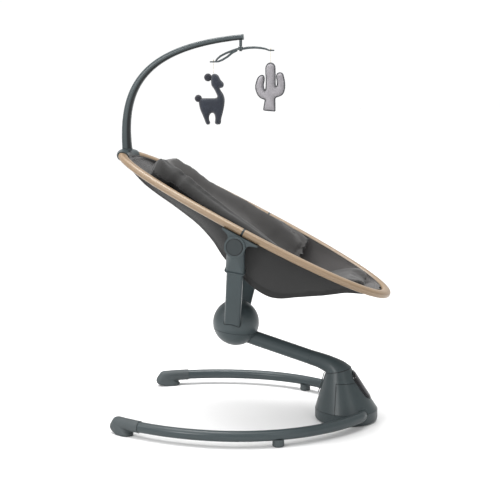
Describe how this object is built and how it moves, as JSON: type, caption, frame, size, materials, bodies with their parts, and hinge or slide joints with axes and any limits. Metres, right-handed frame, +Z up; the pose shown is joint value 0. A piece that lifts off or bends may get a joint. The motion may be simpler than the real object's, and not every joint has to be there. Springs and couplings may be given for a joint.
{
  "type": "baby swing",
  "caption": "Baby swing with a reclining hammock seat in an oval wood-look ring, a swing arm on a floor housing with two bowed legs, and a lift-off toy arch with a turning mobile.",
  "frame": {"origin": "on the floor, under the middle of the object's box at rest", "axes": "+Z up, +X towards the foot end of the seat, +Y towards the baby's left"},
  "size_m": [0.6664, 0.561, 0.927],
  "materials": {
    "housing_plastic": "satin",
    "frame_paint": "satin",
    "frame_plastic": "satin",
    "foot_rubber": "matte",
    "bezel_plastic": "satin",
    "panel_gloss": "gloss",
    "black_plastic": "matte",
    "dark_plastic": "matte",
    "bright_steel": "brushed",
    "coil_copper": "enamelled wire",
    "board": "solder mask",
    "beech": "satin lacquer",
    "shell_fabric": "woven",
    "inner_fabric": "heathered knit",
    "webbing": "webbing",
    "buckle_plastic": "satin",
    "string": "cord",
    "llama_felt": "denim weave",
    "cactus_felt": "felt"
  },
  "bodies": {
    "base": {"base_pan": "housing_plastic", "housing_front": "housing_plastic", "housing_rear": "housing_plastic", "leg_tube_left": "frame_paint", "leg_tube_right": "frame_paint", "front_foot_left": "foot_rubber", "front_foot_right": "foot_rubber", "mid_feet": "foot_rubber", "control_bezel": "bezel_plastic", "control_glass": "panel_gloss", "dc_jack": "black_plastic", "drive_frame": "dark_plastic", "upper_bearing": "bright_steel", "lower_bearing": "bright_steel", "drive_coil": "coil_copper", "main_board": "board", "speaker": "black_plastic", "housing_screws": "bright_steel", "front_trim_strip": "foot_rubber"},
    "arm": {"arm_tube": "frame_paint", "arm_elbow": "frame_paint", "swing_axle": "bright_steel", "magnet_carrier": "dark_plastic", "drive_magnets": "bright_steel", "hub_lower_shell": "frame_plastic", "hub_upper_shell": "frame_plastic", "hub_core": "dark_plastic", "hub_screws": "bright_steel", "upright_left": "frame_paint", "upright_right": "frame_paint", "upright_sleeve_left": "frame_plastic", "upright_sleeve_right": "frame_plastic", "hinge_pin_left": "bright_steel", "hinge_pin_right": "bright_steel"},
    "snap_left": {"snap_button_left": "foot_rubber"},
    "snap_right": {"snap_button_right": "foot_rubber"},
    "seat": {"ring_head_tube": "beech", "ring_foot_tube": "beech", "ring_joints": "dark_plastic", "ring_bracket_left": "frame_plastic", "ring_bracket_right": "frame_plastic", "seat_shell": "shell_fabric", "seat_liner": "inner_fabric", "newborn_inlay": "inner_fabric", "crotch_strap": "webbing", "waist_straps": "webbing", "harness_buckle": "buckle_plastic", "arch_clip": "frame_plastic"},
    "recline_left": {"recline_button_left": "frame_plastic"},
    "recline_right": {"recline_button_right": "frame_plastic"},
    "arch": {"arch_tube": "frame_paint", "mobile_stem": "frame_paint"},
    "mobile": {"mobile_hub": "frame_plastic", "mobile_arms": "frame_plastic"},
    "llama_cord": {"llama_string": "string"},
    "llama_toy": {"llama": "llama_felt"},
    "cactus_cord": {"cactus_string": "string"},
    "cactus_toy": {"cactus": "cactus_felt"}
  },
  "joints": [
    {"name": "swing", "type": "hinge", "parent": "base", "child": "arm", "pos_m": [0.2114, 0, 0.122], "axis": [-0.225, 0, 0.9744], "range_deg": [-15, 15]},
    {"name": "recline", "type": "hinge", "parent": "arm", "child": "seat", "pos_m": [-0.00718, 0, 0.44568], "axis": [0, -1, 0], "range_deg": [0, 15.5]},
    {"name": "recline_button_left_press", "type": "slide", "parent": "seat", "child": "recline_left", "axis": [0, -1, 0], "range_m": [0, 0.004], "stiffness_N_per_m": 1200, "springref_m": -0.001},
    {"name": "recline_button_right_press", "type": "slide", "parent": "seat", "child": "recline_right", "axis": [0, 1, 0], "range_m": [0, 0.004], "stiffness_N_per_m": 1200, "springref_m": -0.001},
    {"name": "snap_left_press", "type": "slide", "parent": "arm", "child": "snap_left", "axis": [-0.0842, 0.8615, -0.5008], "range_m": [0, 0.003], "stiffness_N_per_m": 800, "springref_m": -0.001},
    {"name": "snap_right_press", "type": "slide", "parent": "arm", "child": "snap_right", "axis": [-0.0842, -0.8615, -0.5008], "range_m": [0, 0.003], "stiffness_N_per_m": 800, "springref_m": -0.001},
    {"name": "arch_lift", "type": "slide", "parent": "seat", "child": "arch", "axis": [-0.0766, 0, 0.9971], "range_m": [0, 0.035]},
    {"name": "mobile_spin", "type": "hinge", "parent": "arch", "child": "mobile", "pos_m": [-0.0305, 0, 0.894], "axis": [0, 0, 1], "continuous": true},
    {"name": "llama_sway", "type": "hinge", "parent": "mobile", "child": "llama_cord", "pos_m": [-0.0968, 0, 0.863], "axis": [0, 1, 0], "range_deg": [-20, 20]},
    {"name": "llama_twist", "type": "hinge", "parent": "llama_cord", "child": "llama_toy", "pos_m": [-0.0968, 0, 0.8354], "axis": [0, 0, 1], "range_deg": [-90, 90]},
    {"name": "cactus_sway", "type": "hinge", "parent": "mobile", "child": "cactus_cord", "pos_m": [0.0415, 0, 0.889], "axis": [0, 1, 0], "range_deg": [-20, 20]},
    {"name": "cactus_twist", "type": "hinge", "parent": "cactus_cord", "child": "cactus_toy", "pos_m": [0.0415, 0, 0.8599], "axis": [0, 0, 1], "range_deg": [-90, 90]}
  ]
}
